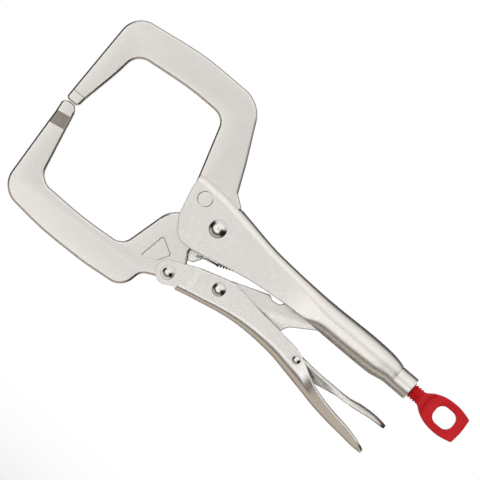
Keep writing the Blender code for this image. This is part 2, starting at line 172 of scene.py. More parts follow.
def rounded_outline(corners):
    """Points of a closed outline, with each corner (x, z, radius) turned into a tangent arc."""
    points = []
    count = len(corners)
    for index, (x, z, radius) in enumerate(corners):
        here = Vector((x, z))
        if radius == 0.0:
            points.append(here)
            continue
        to_last = (Vector(corners[index - 1][:2]) - here).normalized()
        to_next = (Vector(corners[(index + 1) % count][:2]) - here).normalized()
        inner = to_last.angle(to_next)
        turn = math.pi - inner
        reach = radius * math.tan(turn / 2)
        centre = here + (to_last + to_next).normalized() * (radius / math.sin(inner / 2))
        first = here + to_last * reach - centre
        side = 1.0 if to_last.cross(to_next) < 0 else -1.0
        steps = max(2, math.ceil(math.degrees(turn) / ARC_STEP))
        for i in range(steps + 1):
            angle = side * turn * i / steps
            c, s = math.cos(angle), math.sin(angle)
            points.append(centre + Vector((first.x * c - first.y * s, first.x * s + first.y * c)))
    return points


def linked(name, data):
    """A new object in the scene."""
    obj = bpy.data.objects.new(name, data)
    bpy.context.scene.collection.objects.link(obj)
    return obj


def finished(name, shape, sharp=32.0):
    """Links a mesh drawn in millimetres at its true place in the frame."""
    mesh = bpy.data.meshes.new(name)
    bmesh.ops.recalc_face_normals(shape, faces=shape.faces)
    shape.to_mesh(mesh)
    shape.free()
    mesh.transform(Matrix.Translation(ZERO) @ Matrix.Scale(MM, 4))
    mesh.shade_smooth()
    mesh.set_sharp_from_angle(angle=math.radians(sharp))
    return linked(name, mesh)


def settle(obj, sharp=32.0):
    """Turns an object's modifiers into its mesh."""
    graph = bpy.context.evaluated_depsgraph_get()
    mesh = bpy.data.meshes.new_from_object(obj.evaluated_get(graph))
    obj.modifiers.clear()
    bare = obj.data
    obj.data = mesh
    bpy.data.meshes.remove(bare)
    mesh.name = obj.name
    mesh.shade_smooth()
    mesh.set_sharp_from_angle(angle=math.radians(sharp))
    return obj


def combine(obj, other, operation):
    """Adds, cuts or intersects an object with a helper, and deletes the helper."""
    modifier = obj.modifiers.new(operation, "BOOLEAN")
    modifier.operation = operation
    modifier.object = other
    settle(obj)
    bpy.data.objects.remove(other)
    return obj


def prism(name, outline, low, high):
    """An XZ outline extruded along Y."""
    shape = bmesh.new()
    face = shape.faces.new([shape.verts.new((p.x, low, p.y)) for p in outline])
    raised = bmesh.ops.extrude_face_region(shape, geom=[face])["geom"]
    verts = [item for item in raised if isinstance(item, bmesh.types.BMVert)]
    bmesh.ops.translate(shape, vec=(0.0, high - low, 0.0), verts=verts)
    return finished(name, shape)


def round_edges(obj, width, segments, limit=40.0):
    """Rounds every edge sharper than the limit."""
    modifier = obj.modifiers.new("round", "BEVEL")
    modifier.width = width * MM
    modifier.segments = segments
    modifier.limit_method = "ANGLE"
    modifier.angle_limit = math.radians(limit)
    modifier.use_clamp_overlap = False
    modifier.miter_outer = "MITER_ARC"
    return settle(obj, 28.0)


def drill(obj, holes, reach=CUTTER_HALF):
    """Cuts round holes (x, z, radius) through an object along Y."""
    shape = bmesh.new()
    for x, z, radius in holes:
        size = {"radius1": radius, "radius2": radius, "depth": 2 * reach}
        turn = Matrix.Translation((x, 0.0, z)) @ Matrix.Rotation(math.pi / 2, 4, "X")
        bmesh.ops.create_cone(shape, cap_ends=True, segments=HOLE_SIDES, matrix=turn, **size)
    return combine(obj, finished("drill", shape), "DIFFERENCE")


def bridge(shape, ring, following):
    """Joins two closed rings of as many vertices with a band of faces."""
    count = len(ring)
    for i in range(count):
        j = (i + 1) % count
        shape.faces.new((ring[i], ring[j], following[j], following[i]))


def turned(name, profile, origin, along, sides=64):
    """A profile of (radius, distance) turned about an axis along "x" or "y" through origin (x, z)."""
    shape = bmesh.new()
    if along == "y":
        axis = (0.0, 1.0, 0.0)
        places = [(origin[0] + r, d, origin[1]) for r, d in profile]
    else:
        axis = (1.0, 0.0, 0.0)
        places = [(d, 0.0, origin[1] + r) for r, d in profile]
    verts = [shape.verts.new(p) for p in places]
    edges = [shape.edges.new(pair) for pair in zip(verts, verts[1:])]
    centre = (origin[0], 0.0, origin[1])
    bmesh.ops.spin(
        shape, geom=verts + edges, cent=centre, axis=axis, angle=math.tau, steps=sides, use_merge=True
    )
    bmesh.ops.remove_doubles(shape, verts=shape.verts, dist=1e-4)
    return finished(name, shape, 40.0)


def even_normals(obj):
    """Keeps the flats of a pressed shell flat where they meet its rounded corners."""
    modifier = obj.modifiers.new("even_normals", "WEIGHTED_NORMAL")
    modifier.keep_sharp = True
    modifier.weight = 80
    return obj


# Pressed channels.


def slopes(xs, ys):
    """Slopes of a curve through the points that never overshoots them."""
    gaps = [b - a for a, b in zip(xs, xs[1:])]
    rises = [(b - a) / gap for a, b, gap in zip(ys, ys[1:], gaps)]
    found = [rises[0]]
    for i in range(1, len(xs) - 1):
        if rises[i - 1] * rises[i] <= 0:
            found.append(0.0)
            continue
        near, far = 2 * gaps[i] + gaps[i - 1], gaps[i] + 2 * gaps[i - 1]
        found.append((near + far) / (near / rises[i - 1] + far / rises[i]))
    return found + [rises[-1]]


def smooth_stations(rows):
    """Fine stations on smooth curves through the rough ones, each row being x and then its measures."""
    xs = [row[0] for row in rows]
    columns = [[row[c] for row in rows] for c in range(1, len(rows[0]))]
    tilts = [slopes(xs, column) for column in columns]
    fine = []
    for i, (start, end) in enumerate(zip(xs, xs[1:])):
        gap = end - start
        steps = max(1, round(gap / STATION_STEP))
        for k in range(steps):
            t = k / steps
            measures = []
            for column, tilt in zip(columns, tilts):
                a, b = column[i], column[i + 1]
                bend = (1 + 2 * t) * (1 - t) ** 2 * a + t * t * (3 - 2 * t) * b
                measures.append(bend + gap * t * (1 - t) * ((1 - t) * tilt[i] - t * tilt[i + 1]))
            fine.append((start + gap * t, *measures))
    return fine + [rows[-1]]


def channel_path(crest, rim, half_width, radius, sweep, curl):
    """Half of a pressed channel's outer section: its path, its rim point, and 1 or -1 for a rim up or down.

    Points are (y, z, angle). The path runs flat from the crest's centre, round a corner of the given radius
    through sweep degrees, straight along the wall and round a last curl, which is slight on a plain wall. It
    stops short of the rim by the rim's own rounding.
    """
    rise = 1.0 if rim > crest else -1.0
    height = abs(rim - crest)
    beta, kappa = math.radians(sweep), math.radians(curl)
    curl_radius = max(half_width, CURL_LENGTH / kappa)
    curl_height = curl_radius * (math.cos(beta) - math.cos(beta + kappa))
    wall = (height - radius * (1 - math.cos(beta)) - curl_height) / math.sin(beta)
    flat = half_width - radius * math.sin(beta) - wall * math.cos(beta)
    path = [(0.0, crest, 0.0)]
    steps = 12
    for angle in [beta * i / steps for i in range(steps + 1)]:
        path.append((flat + radius * math.sin(angle), crest + rise * radius * (1 - math.cos(angle)), angle))
    y, z, _ = path[-1]
    y, z = y + wall * math.cos(beta), z + rise * wall * math.sin(beta)
    last = kappa - RIM_ROUND / curl_radius
    for angle in [beta + last * i / 8 for i in range(9)] + [beta + kappa]:
        dy = curl_radius * (math.sin(angle) - math.sin(beta))
        dz = curl_radius * (math.cos(beta) - math.cos(angle))
        path.append((y + dy, z + rise * dz, angle))
    return path[:-1], path[-1], rise


def channel_ring(x, sheet, section, inset=0.0):
    """The closed ring of points round a channel's sheet at x: over the outside, and back on the inside.

    An inset thins the sheet evenly towards its middle.
    """
    path, (y, z, angle), rise = channel_path(*section)
    inward = Vector((-math.sin(angle), rise * math.cos(angle)))
    onward = Vector((math.cos(angle), rise * math.sin(angle)))
    rim = Vector((y, z)) - onward * inset
    near, far = inset, sheet - inset
    edge = RIM_ROUND - inset * 0.6
    mid = edge * ROUND_MIDDLE
    outer = [(y - near * math.sin(a), z + rise * near * math.cos(a)) for y, z, a in path]
    outer += [rim + inward * (near + mid) - onward * mid, rim + inward * (near + edge)]
    inner = [(y - far * math.sin(a), z + rise * far * math.cos(a)) for y, z, a in path]
    inner += [rim + inward * (far - mid) - onward * mid, rim + inward * (far - edge)]
    outside = [(-y, z) for y, z in reversed(outer[1:])] + outer
    inside = [(-y, z) for y, z in reversed(inner[1:])] + inner
    return [(x, y, z) for y, z in outside + inside[::-1]]


def channel(name, stations, sheet):
    """A pressed channel lofted through stations, with the edge at its far end rounded.

    A station is (x, crest, rim, half width, corner radius, sweep, curl), as channel_path takes them.
    """
    shape = bmesh.new()
    rings = [channel_ring(station[0], sheet, station[1:]) for station in stations[:-1]]
    end, *section = stations[-1]
    for back, inset in ((0.5, 0.0), (0.15, 0.15), (0.0, 0.5)):
        rings.append(channel_ring(end - back, sheet, section, inset))
    rings = [[shape.verts.new(point) for point in ring] for ring in rings]
    for ring, following in zip(rings, rings[1:]):
        bridge(shape, ring, following)
    count = len(rings[0])
    for ring in (rings[0], rings[-1]):
        for i in range(count // 2 - 1):
            shape.faces.new((ring[i], ring[i + 1], ring[count - 2 - i], ring[count - 1 - i]))
    return finished(name, shape)


def trim(shell, outline, half, edge, start):
    """Cuts a shell's side to an outline, and leaves all that lies beyond start along X.

    The walls' cut edges get the given rounding. For that, half is the walls' half width.
    """
    keep = round_edges(prism("side_" + shell.name, outline, -half, half), edge, 4)
    end, low, high = 250.0, -80.0, 40.0
    beyond = [Vector(corner) for corner in ((start, low), (start, high), (end, high), (end, low))]
    combine(keep, prism("beyond_" + shell.name, beyond, -CUTTER_HALF, CUTTER_HALF), "UNION")
    return combine(shell, keep, "INTERSECT")


# Pieces.


def fixed_jaw():
    """The upper jaw, forged in one piece: pad, C-shaped arm and a root held between the handle's walls."""
    corners = [
        (-4.2, 0.0, 2.2),
        (-4.95, 58.8, 13.0),
        (38.5, 65.8, 150.0),
        (77.7, 65.8, 18.0),
        (93.3, 35.3, 100.0),
        (100.2, 20.3, 3.0),
        (107.2, 15.2, 2.0),
        (106.3, 11.0, 3.0),
        (112.6, 9.4, 2.0),
    ]
    corners += arc(MAIN_PIVOT, KNUCKLE + 0.8, 50.0, 129.0)
    corners += [
        (83.8, -4.6, 2.0),
        (81.0, 1.0, 10.0),
        (79.0, 9.6, 4.0),
        (67.2, 46.5, 8.5),
        (45.0, 46.9, 150.0),
        (10.3, 42.6, 9.0),
        (8.7, 28.0, 120.0),
        (4.5, 5.0, 14.0),
        (4.1, 0.0, 2.8),
    ]
    jaw = prism("fixed_jaw_forging", rounded_outline(corners), -JAW_HALF, JAW_HALF)
    thin_tip(jaw, (0.0, 6.3), 0.0, ramp=0.5, depth=0.35, towards=-1.0)
    round_edges(jaw, JAW_ROUND, 6)
    drill(jaw, [(*JAW_PIN, JAW_PIN_RADIUS + GAP)])
    return jaw


def thin_tip(jaw, start, slope, ramp, depth, towards):
    """Thins a jaw's tip on both sides: a ramp that starts on a line across the jaw, then a thinner flat.

    The line passes through start at the given slope in degrees, and towards is 1 or -1 for up or down.
    """
    across = Vector((math.cos(math.radians(slope)), math.sin(math.radians(slope))))
    along = Vector((-across.y, across.x)) * towards
    length, above = 40.0, -5.0
    profile = [(0.0, 0.0), (ramp, depth), (length, depth), (length, above), (0.0, above)]
    for side in (-1.0, 1.0):
        shape = bmesh.new()
        ends = []
        for reach in (-25.0, 25.0):
            row = []
            for t, cut in profile:
                p = Vector(start) + across * reach + along * t
                row.append(shape.verts.new((p.x, side * (JAW_HALF - cut), p.y)))
            ends.append(row)
            shape.faces.new(row)
        bridge(shape, *ends)
        combine(jaw, finished("tip_cut", shape), "DIFFERENCE")


def moving_jaw():
    """The lower jaw: pad, arm with a cast recess, pivot knuckle, lever boss and the spring's thin tab."""
    corners = [
        (-1.8, -0.3, 2.0),
        (-4.75, -2.3, 2.0),
        (-3.75, -9.5, 8.0),
        (0.1, -60.0, 13.5),
        (32.0, -62.8, 150.0),
        (60.0, -61.8, 100.0),
        (85.1, -58.9, 10.5),
        (87.6, -45.6, 6.5),
    ]
    corners += arc(LEVER_PIVOT, 6.3, -120.0, 30.0)
    corners += [(103.6, -26.2, 2.0), (99.8, -20.0, 3.0), (103.4, -12.6, 4.0)]
    corners += arc(MAIN_PIVOT, KNUCKLE, -40.0, 129.0)
    corners += [
        (77.4, -11.6, 14.0),
        (70.1, -40.9, 8.5),
        (45.0, -43.1, 150.0),
        (14.1, -42.7, 9.0),
        (4.95, -3.3, 2.6),
        (2.4, -0.3, 2.0),
    ]
    jaw = prism("moving_jaw_forging", rounded_outline(corners), -JAW_HALF, JAW_HALF)
    thin_tip(jaw, (1.5, -14.9), 10.8, ramp=7.6, depth=1.3, towards=1.0)
    round_edges(jaw, JAW_ROUND, 6)
    for side in (-1.0, 1.0):
        recess(jaw, side)
    outline = [
        (98.0, -12.0, 0.0),
        (104.5, -13.5, 1.0),
        (108.6, -18.2, 2.5),
        (105.4, -23.4, 2.5),
        (98.0, -25.5, 0.0),
    ]
    tab = prism("spring_tab", rounded_outline(outline), -TAB_HALF, TAB_HALF)
    combine(jaw, round_edges(tab, TAB_ROUND, 3), "UNION")
    holes = [(*MAIN_PIVOT, MAIN_SHANK + GAP), (*LEVER_PIVOT, SMALL_SHANK + GAP), (*SPRING_HOOK, HOOK_HOLE)]
    return drill(jaw, holes)


def recess(jaw, side):
    """Sinks the triangular recess with rounded corners and sloped walls into one side of the lower jaw."""
    corners = [(81.6, -38.9, 1.0), (84.3, -23.2, 1.0), (93.6, -28.2, 1.2), (89.9, -34.6, 2.5)]
    floor = rounded_outline(corners)
    middle = sum(floor, Vector((0.0, 0.0))) / len(floor)
    shape = bmesh.new()
    rings = []
    for grow, depth in ((0.0, 1.0), (0.55, 0.0), (0.75, -1.0)):
        ring = [p + (p - middle).normalized() * grow for p in floor]
        rings.append([shape.verts.new((p.x, side * (JAW_HALF - depth), p.y)) for p in ring])
    for ring, following in zip(rings, rings[1:]):
        bridge(shape, ring, following)
    shape.faces.new(rings[0])
    shape.faces.new(rings[-1])
    combine(jaw, finished("recess", shape), "DIFFERENCE")


def handle():
    """The upper handle: one pressed sheet with a slotted nose round the jaw, a tube and a collar."""
    crests = [(74.0, 15.8), (78.1, 16.6), (84.5, 17.1), (92.0, 16.9), (99.7, 16.3), (106.9, 15.3)]
    nose = [(x, crest, -22.0, HANDLE_HALF, 5.7, 90.0, 1.0) for x, crest in crests]
    grip = [
        (107.4, 15.3, -17.0, HANDLE_HALF, 5.7, 90.0, 1.0),
        (115.5, 14.0, -15.1, HANDLE_HALF, 5.5, 90.0, 1.0),
        (125.0, 12.35, -12.9, HANDLE_HALF, 5.2, 90.0, 1.0),
        (137.0, 10.65, -10.6, HANDLE_HALF, 5.1, 90.0, 1.0),
        (150.0, 9.8, -9.1, HANDLE_HALF, 5.2, 91.0, 1.5),
        (162.0, 9.3, -8.1, 7.0, 5.8, 94.0, 6.0),
        (172.0, 9.1, -7.9, 7.7, 6.8, 97.0, 24.0),
        (178.0, 9.1, -8.0, 8.1, 7.4, 98.0, 48.0),
        (184.0, 9.2, -8.1, 8.3, 7.7, 98.0, 59.0),
        (196.0, 9.6, -8.1, 8.3, 8.0, 98.0, 60.0),
        (206.0, 9.8, -8.0, 8.4, 8.2, 98.0, 64.0),
        (216.0, 9.6, -7.6, 8.2, 8.0, 98.0, 70.0),
        (221.0, 9.2, -6.7, 7.8, 7.4, 94.0, 76.0),
        (225.5, 8.4, -6.0, 7.3, 6.8, 90.0, 80.0),
        (227.8, 7.75, -6.0, 6.95, 6.6, 90.0, 80.0),
        (228.3, 7.35, -6.0, 6.65, 6.35, 90.0, 80.0),
        (239.2, 7.35, -6.0, 6.65, 6.35, 90.0, 80.0),
    ]
    shell = channel("handle_shell", smooth_stations(nose) + smooth_stations(grip), HANDLE_SHEET)
    slot = [(60.0, 2.0, 0.0), (60.0, 30.0, 0.0), (107.1, 30.0, 0.0), (107.1, 2.0, 0.0)]
    combine(shell, prism("jaw_slot", rounded_outline(slot), -JAW_HALF - GAP, JAW_HALF + GAP), "DIFFERENCE")
    side = [
        (78.3, 18.0, 2.0),
        (125.0, 26.0, 2.0),
        (125.0, -26.0, 2.0),
        (108.4, -26.0, 2.0),
        (107.2, -16.95, 0.6),
        (99.9, -18.7, 12.0),
        (90.6, -19.0, 8.0),
        (83.0, -8.6, 14.0),
        (78.9, 8.0, 12.0),
    ]
    trim(shell, rounded_outline(side), HANDLE_HALF + 0.02, edge=0.5, start=112.0)
    anchor = [(148.2, 8.6, 0.0), (148.2, -1.6, 1.0), (153.0, -1.6, 1.0), (153.0, 8.2, 0.0)]
    combine(shell, prism("anchor_tab", rounded_outline(anchor), -TAB_HALF, TAB_HALF), "UNION")
    drill(shell, [(*MAIN_PIVOT, MAIN_SHANK + GAP), (*JAW_PIN, JAW_PIN_RADIUS + 0.2)])
    drill(shell, [(*SPRING_ANCHOR, HOOK_HOLE)], reach=3.0)
    return even_normals(shell)


def lever():
    """The lower handle: a channel open towards the link, with two ears round the jaw and a flared tail."""
    ears = [
        (90.0, -52.0, -14.0, LEVER_HALF, 4.0, 90.0, 1.0),
        (106.9, -52.0, -14.0, LEVER_HALF, 4.0, 90.0, 1.0),
    ]
    grip = [
        (107.3, -41.0, -14.0, LEVER_HALF, 4.0, 90.0, 1.0),
        (111.4, -39.86, -14.0, LEVER_HALF, 3.8, 90.0, 1.0),
        (111.7, -39.78, -14.0, LEVER_HALF + 0.07, 3.8, 90.0, 1.0),
        (112.0, -39.7, -14.0, LEVER_HALF + 0.2, 3.8, 90.0, 1.0),
        (112.3, -39.62, -14.0, LEVER_HALF + 0.33, 3.8, 90.0, 1.0),
        (112.6, -39.54, -14.0, GRIP_HALF, 3.8, 90.0, 1.0),
        (123.0, -37.2, -14.0, GRIP_HALF, 3.9, 90.0, 1.0),
        (130.2, -35.6, -14.0, GRIP_HALF, 4.1, 90.0, 1.0),
        (131.2, -35.4, -17.2, GRIP_HALF, 4.1, 90.0, 1.0),
        (139.0, -34.1, -18.5, GRIP_HALF, 4.4, 90.0, 1.0),
        (147.0, -33.4, -19.6, 7.1, 4.8, 90.0, 1.0),
        (154.0, -33.3, -20.2, 7.2, 5.2, 90.0, 1.0),
        (162.0, -33.6, -20.8, 7.3, 5.6, 90.0, 1.0),
        (170.0, -34.3, -21.7, 7.3, 6.0, 90.0, 1.0),
        (178.0, -35.7, -22.4, 7.4, 6.3, 90.0, 1.0),
        (187.0, -37.4, -25.9, 7.6, 6.8, 84.0, 1.0),
        (195.0, -38.9, -30.4, 8.0, 6.3, 66.0, 1.0),
        (205.0, -40.8, -34.2, 8.4, 6.0, 51.0, 1.0),
        (216.0, -42.15, -36.5, 8.8, 5.6, 49.0, 1.0),
        (227.0, -42.9, -38.1, 8.9, 5.2, 44.0, 1.0),
        (234.8, -43.5, -40.0, 8.6, 5.0, 43.0, 1.0),
        (237.6, -43.4, -40.9, 7.3, 5.6, 46.0, 1.0),
        (239.4, -43.5, -41.4, 5.3, 3.8, 46.0, 1.0),
        (240.4, -43.5, -41.7, 3.2, 2.0, 46.0, 1.0),
    ]
    shell = channel("lever_shell", ears + smooth_stations(grip), LEVER_SHEET)
    side = arc(LEVER_PIVOT, 6.8, 125.0, 285.0)
    side += [
        (106.0, -39.7, 0.8),
        (108.0, -41.0, 0.8),
        (109.0, -60.0, 2.0),
        (140.0, -60.0, 2.0),
        (140.0, -14.0, 2.0),
        (132.0, -14.0, 2.0),
        (130.8, -16.8, 0.6),
        (110.6, -23.0, 60.0),
    ]
    trim(shell, rounded_outline(side), GRIP_HALF + 0.02, edge=0.9, start=134.0)
    holes = [
        (*LEVER_PIVOT, SMALL_SHANK + GAP),
        (*LINK_PIVOT, SMALL_SHANK + GAP),
        (*RELEASE_PIVOT, RELEASE_SHANK + GAP),
    ]
    return even_normals(drill(shell, holes))


def toggle_link():
    """The forged strut from the lever to the screw, with a heel that the release lever's nose lifts."""
    corners = arc(LINK_PIVOT, 6.4, 110.0, 290.0)
    corners += [
        (150.0, -26.2, 8.0),
        (164.4, -23.3, 2.0),
        (166.6, -17.0, 8.0),
        (179.8, -8.2, 12.0),
        (190.2, -3.4, 2.5),
        (192.8, 0.5, 2.0),
        (190.2, 4.2, 2.5),
        (176.0, 2.6, 8.0),
        (158.6, -5.4, 3.0),
        (156.0, -10.6, 2.5),
        (151.2, -11.4, 2.0),
        (148.6, -9.7, 1.5),
    ]
    link = prism("toggle_link_forging", rounded_outline(corners), -LINK_HALF, LINK_HALF)
    round_edges(link, LINK_ROUND, 3)
    return drill(link, [(*LINK_PIVOT, SMALL_SHANK + GAP)])


def release_lever():
    """The small trigger inside the lower handle: a narrow nose, a pivot and a flared tail."""
    stations = [
        (163.0, -27.4, -30.3, 4.0, 1.9, 90.0, 1.0),
        (172.0, -25.6, -30.7, 4.4, 2.2, 90.0, 1.0),
        (181.0, -23.7, -31.8, 4.2, 2.4, 98.0, 1.0),
        (187.0, -24.1, -32.2, 3.6, 1.4, 109.0, 8.0),
        (191.0, -24.4, -31.9, 3.3, 1.2, 112.0, 13.0),
        (198.0, -24.7, -30.9, 3.6, 1.2, 112.0, 14.0),
        (204.0, -24.6, -29.6, 4.7, 1.3, 110.0, 14.0),
        (210.0, -24.6, -28.4, 6.0, 1.7, 100.0, 15.0),
        (216.0, -24.4, -27.7, 7.0, 2.4, 76.0, 10.0),
        (225.0, -22.7, -26.3, 7.6, 5.2, 60.0, 1.0),
        (233.0, -22.2, -24.9, 7.8, 5.6, 52.0, 1.0),
        (237.0, -22.4, -24.7, 7.1, 5.2, 47.0, 1.0),
        (239.8, -22.7, -24.6, 5.4, 4.0, 46.0, 1.0),
        (241.5, -22.9, -24.5, 3.2, 2.2, 46.0, 1.0),
    ]
    shell = channel("release_lever_shell", smooth_stations(stations), RELEASE_SHEET)
    return even_normals(drill(shell, [(*RELEASE_PIVOT, RELEASE_SHANK + GAP)]))


def thread_height(phase):
    """The thread's height, 0 at its root to 1 on its flat crest, at the given share of the pitch."""
    half_base, cut_top = 0.42, 1.25
    return min(1.0, max(0.0, 1.0 - abs(phase - 0.5) / half_base) * cut_top)


def threaded_shank():
    """The screw's shank: a right-hand thread that runs out at the key, and a blind bore for the pin."""
    sides, per_pitch = 48, 10
    step = THREAD_PITCH / per_pitch
    thread_end, run_out = NECK_END - 0.9, 1.2
    bore, bore_end = THRUST_RADIUS + GAP, THRUST_END + 1.0
    shape = bmesh.new()

    def ring_at(x, radii):
        """A ring of vertices about the screw's axis at x, one for each radius."""
        ring = []
        for k, radius in enumerate(radii):
            angle = math.tau * k / sides
            ring.append(shape.verts.new((x, radius * math.cos(angle), SCREW_Z + radius * math.sin(angle))))
        return ring

    rings = []
    for i in range(round((NECK_END - SCREW_START) / step) + 1):
        x = SCREW_START + i * step
        fade = min(1.0, max(0.0, (thread_end - x) / run_out)) * min(1.0, i / per_pitch)
        phases = [((x - SCREW_START) / THREAD_PITCH - k / sides) % 1.0 for k in range(sides)]
        radii = [SCREW_RADIUS - THREAD_DEPTH * (1.0 - thread_height(phase) * fade) for phase in phases]
        rings.append(ring_at(x, radii))
    mouth, bottom = [ring_at(x, [bore] * sides) for x in (SCREW_START, bore_end)]
    for ring, following in zip(rings, rings[1:]):
        bridge(shape, ring, following)
    bridge(shape, mouth, rings[0])
    bridge(shape, mouth, bottom)
    shape.faces.new(rings[-1])
    shape.faces.new(bottom)
    return finished("adjusting_screw_shank", shape)


def reach_to(outline, centre, way):
    """The distance from a centre to the outline round it, along the unit vector way."""
    best = 0.0
    for a, b in zip(outline, outline[1:] + outline[:1]):
        start, step = a - centre, b - a
        cross = way.cross(step)
        if abs(cross) < 1e-9:
            continue
        share = way.cross(start) / -cross
        distance = start.cross(step) / cross
        if 0.0 <= share <= 1.0 and distance > best:
            best = distance
    return best


def key_outline():
    """The loop key's outline: it widens from the neck on a smooth flank to two corners and a bowed end."""
    flank = [(245.0, 3.5), (247.2, 4.2), (249.8, 6.1), (252.5, 7.6), (256.0, 8.9)]
    flank += [(260.0, 9.6), (264.0, 9.75), (268.0, 9.3), (270.5, 8.75)]
    edge = smooth_stations(flank)
    corners = [(x, SCREW_Z + half, 0.0) for x, half in edge]
    corners += [(273.9, SCREW_Z + 7.8, 1.1), (274.7, SCREW_Z, 30.0), (273.9, SCREW_Z - 7.8, 1.1)]
    corners += [(x, SCREW_Z - half, 0.0) for x, half in reversed(edge)]
    return rounded_outline(corners)


def key_half(point):
    """Half the key's thickness at a point: thin and flat round the hole, thick where it meets the neck."""
    flat, rise = 12.3, 1.3
    offset = point - Vector(KEY_HOLE)
    if offset.x > 0.0:
        return KEY_HALF
    share = min(1.0, max(0.0, (offset.length - flat) / rise))
    return KEY_HALF + (NECK_HALF - KEY_HALF) * share * share * (3 - 2 * share)


def loop_key(sides=240):
    """The screw's loop key, forged with rounded edges round its rim and, less so, round its hole.

    The rim's rounding grows towards the neck, where the rim is farthest from the hole's centre.
    """
    rim = key_outline()
    left, right = KEY_HOLE[0] - KEY_HOLE_SIDE, KEY_HOLE[0] + KEY_HOLE_SIDE
    top, bottom = SCREW_Z + KEY_HOLE_TOP, SCREW_Z - KEY_HOLE_TOP
    corners = [(left, top), (right, top), (right, bottom), (left, bottom)]
    hole = rounded_outline([(*corner, KEY_HOLE_CORNER) for corner in corners])
    centre = Vector(KEY_HOLE)
    bend = [math.radians(90.0 * i / 5) for i in range(6)]
    hole_round, rim_round, neck_extra = 0.7, 0.8, 0.9
    near_rim, taper = 13.5, 3.0
    flat_steps = 14
    shape = bmesh.new()
    rings = []
    for k in range(sides):
        angle = math.tau * k / sides
        way = Vector((math.cos(angle), math.sin(angle)))
        near, far = reach_to(hole, centre, way), reach_to(rim, centre, way)
        soft = rim_round + neck_extra * min(1.0, max(0.0, (far - near_rim) / taper))
        start, end = near + hole_round, far - soft
        spots = [(near + hole_round * (1 - math.cos(a)), hole_round * (1 - math.sin(a))) for a in bend]
        spots += [(start + (end - start) * i / flat_steps, 0.0) for i in range(1, flat_steps)]
        spots += [(far - soft * (1 - math.sin(a)), soft * (1 - math.cos(a))) for a in bend]
        upper = []
        for reach, drop in spots:
            point = centre + way * reach
            upper.append((point.x, key_half(point) - drop, point.y))
        loop = upper + [(x, -y, z) for x, y, z in reversed(upper)]
        rings.append([shape.verts.new(p) for p in loop])
    for ring, following in zip(rings, rings[1:] + rings[:1]):
        bridge(shape, ring, following)
    return finished("adjusting_screw_key", shape)


def thrust_pin():
    """The hard round pin in the screw's end that the link bears on."""
    profile = [
        (0.0, THRUST_TIP),
        (0.9, THRUST_TIP + 0.05),
        (1.7, THRUST_TIP + 0.45),
        (THRUST_RADIUS, THRUST_TIP + 1.3),
        (THRUST_RADIUS, THRUST_END),
        (0.0, THRUST_END),
    ]
    return turned("thrust_pin_ground", profile, (210.0, SCREW_Z), "x")


def rivet(name, pivot, shank, head, seat, crown, share):
    """A rivet through both walls of a channel, with a set head outside each wall.

    Each head is a thin flange with a dome of the given crown over the given share of it.
    """
    under = seat + HEAD_STAND_OFF
    flange, steps = 0.45, 11
    dome = head * share
    sphere = (dome * dome + crown * crown) / (2 * crown)
    spread = 2 * math.atan(crown / dome)
    half = []
    for angle in [spread * i / steps for i in range(steps + 1)]:
        half.append((sphere * math.sin(angle), under + flange + crown - sphere * (1 - math.cos(angle))))
    edge = [
        (dome + 0.08, 0.42),
        (head - 0.25, 0.4),
        (head - 0.06, 0.3),
        (head, 0.12),
        (head - 0.04, 0.0),
        (shank, 0.0),
    ]
    half += [(radius, under + level) for radius, level in edge]
    return turned(name, half + [(r, -d) for r, d in reversed(half)], pivot, "y")


def flush_pin():
    """The pin through the upper jaw's root, ground flush with the handle's sides."""
    edge = [
        (0.0, HANDLE_HALF),
        (JAW_PIN_RADIUS - PIN_CHAMFER, HANDLE_HALF),
        (JAW_PIN_RADIUS, HANDLE_HALF - PIN_CHAMFER),
    ]
    return turned("fixed_jaw_pin_flush", edge + [(r, -d) for r, d in reversed(edge)], JAW_PIN, "y")


def midplane(point):
    """A drawing point (x, z) on the clamp's middle plane."""
    return Vector((point[0], 0.0, point[1]))


def spring_line():
    """The spring's centre line: a hook through the jaw's tab, the coils, a hook through the handle's tab."""
    start, end = midplane(SPRING_START), midplane(SPRING_END)
    hook, anchor = midplane(SPRING_HOOK), midplane(SPRING_ANCHOR)
    axis = (end - start).normalized()
    up = Vector((-axis.z, 0.0, axis.x))
    side = Vector((0.0, 1.0, 0.0))
    reach, bow = TAB_HALF + 0.9, 0.8
    swing = [-1.5 + 0.25 * i for i in range(13)]
    path = [hook - side * reach * math.sin(a) - axis * bow * math.cos(a) for a in swing]
    path += [hook - side * reach * 0.9 + axis * (1.2 + 1.2 * i) for i in range(4)]
    path += [start - up * SPRING_RADIUS * 0.8 - side * 0.8 - axis * 0.9]
    per_turn = 20
    for i in range(SPRING_TURNS * per_turn + 1):
        angle = math.tau * i / per_turn
        along = start.lerp(end, i / (SPRING_TURNS * per_turn))
        path.append(along - up * SPRING_RADIUS * math.cos(angle) + side * SPRING_RADIUS * math.sin(angle))
    path += [end - up * SPRING_RADIUS * 0.7 + axis * 1.3, anchor - side * reach - axis * 1.2]
    path += [anchor + side * reach * math.sin(a) + axis * bow * math.cos(a) for a in swing]
    return path


